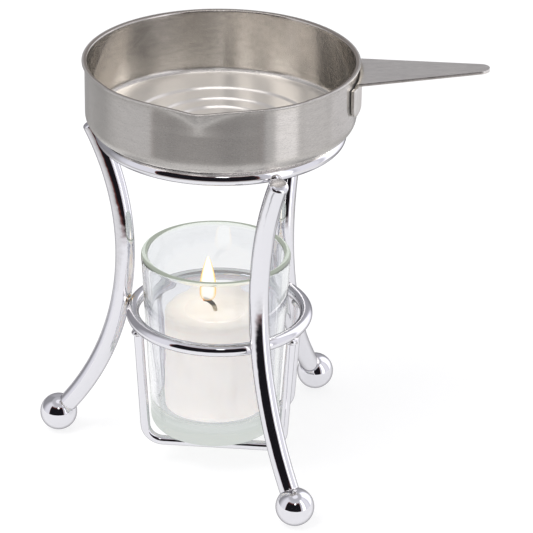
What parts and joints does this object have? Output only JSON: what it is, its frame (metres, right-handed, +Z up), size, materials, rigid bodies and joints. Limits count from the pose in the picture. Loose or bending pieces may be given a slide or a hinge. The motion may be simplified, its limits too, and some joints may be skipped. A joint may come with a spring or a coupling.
{
  "type": "butter warmer",
  "caption": "Small steel pan with pour spout and side handle on a wire stand with bowed legs on ball feet, over a glass cup that holds a candle.",
  "frame": {"origin": "on the axis of the stand's two rings, at the level of the table under the three ball feet", "axes": "+Z up; +X to the right as seen in the picture, about along the pan's handle; +Y away from the viewer"},
  "size_m": [0.1478, 0.1086, 0.1431],
  "materials": {
    "brushed_pan_steel": "satin, brushed round the wall",
    "handle_steel": "fine satin",
    "bright_chrome": "mirror plated",
    "weld_chrome": "plated weld metal, slightly dull",
    "clear_glass": "clear, faintly green at the rim",
    "candle_wax": "smooth white wax",
    "wick_cotton": "charred cotton",
    "wick_tin": "thin pressed tin"
  },
  "bodies": {
    "stand": {"top_ring": "bright_chrome", "lower_ring": "bright_chrome", "leg_left": "bright_chrome", "leg_front": "bright_chrome", "leg_rear": "bright_chrome", "foot_left": "bright_chrome", "foot_front": "bright_chrome", "foot_rear": "bright_chrome", "basket_wire_front": "bright_chrome", "basket_wire_rear": "bright_chrome", "top_ring_welds": "weld_chrome", "lower_ring_welds": "weld_chrome", "basket_welds": "weld_chrome"},
    "pan": {"pan_bowl": "brushed_pan_steel", "pan_handle": "handle_steel", "handle_spot_welds": "handle_steel"},
    "glass": {"glass_cup": "clear_glass"},
    "candle": {"candle_wax": "candle_wax", "candle_wick": "wick_cotton", "wick_sustainer": "wick_tin"}
  },
  "joints": [
    {"name": "pan_lift", "type": "slide", "parent": "stand", "child": "pan", "axis": [0, 0, 1], "range_m": [0, 0.06]},
    {"name": "glass_lift", "type": "slide", "parent": "stand", "child": "glass", "axis": [0, 0, 1], "range_m": [0, 0.042]},
    {"name": "candle_lift", "type": "slide", "parent": "glass", "child": "candle", "axis": [0, 0, 1], "range_m": [0, 0.016]}
  ]
}
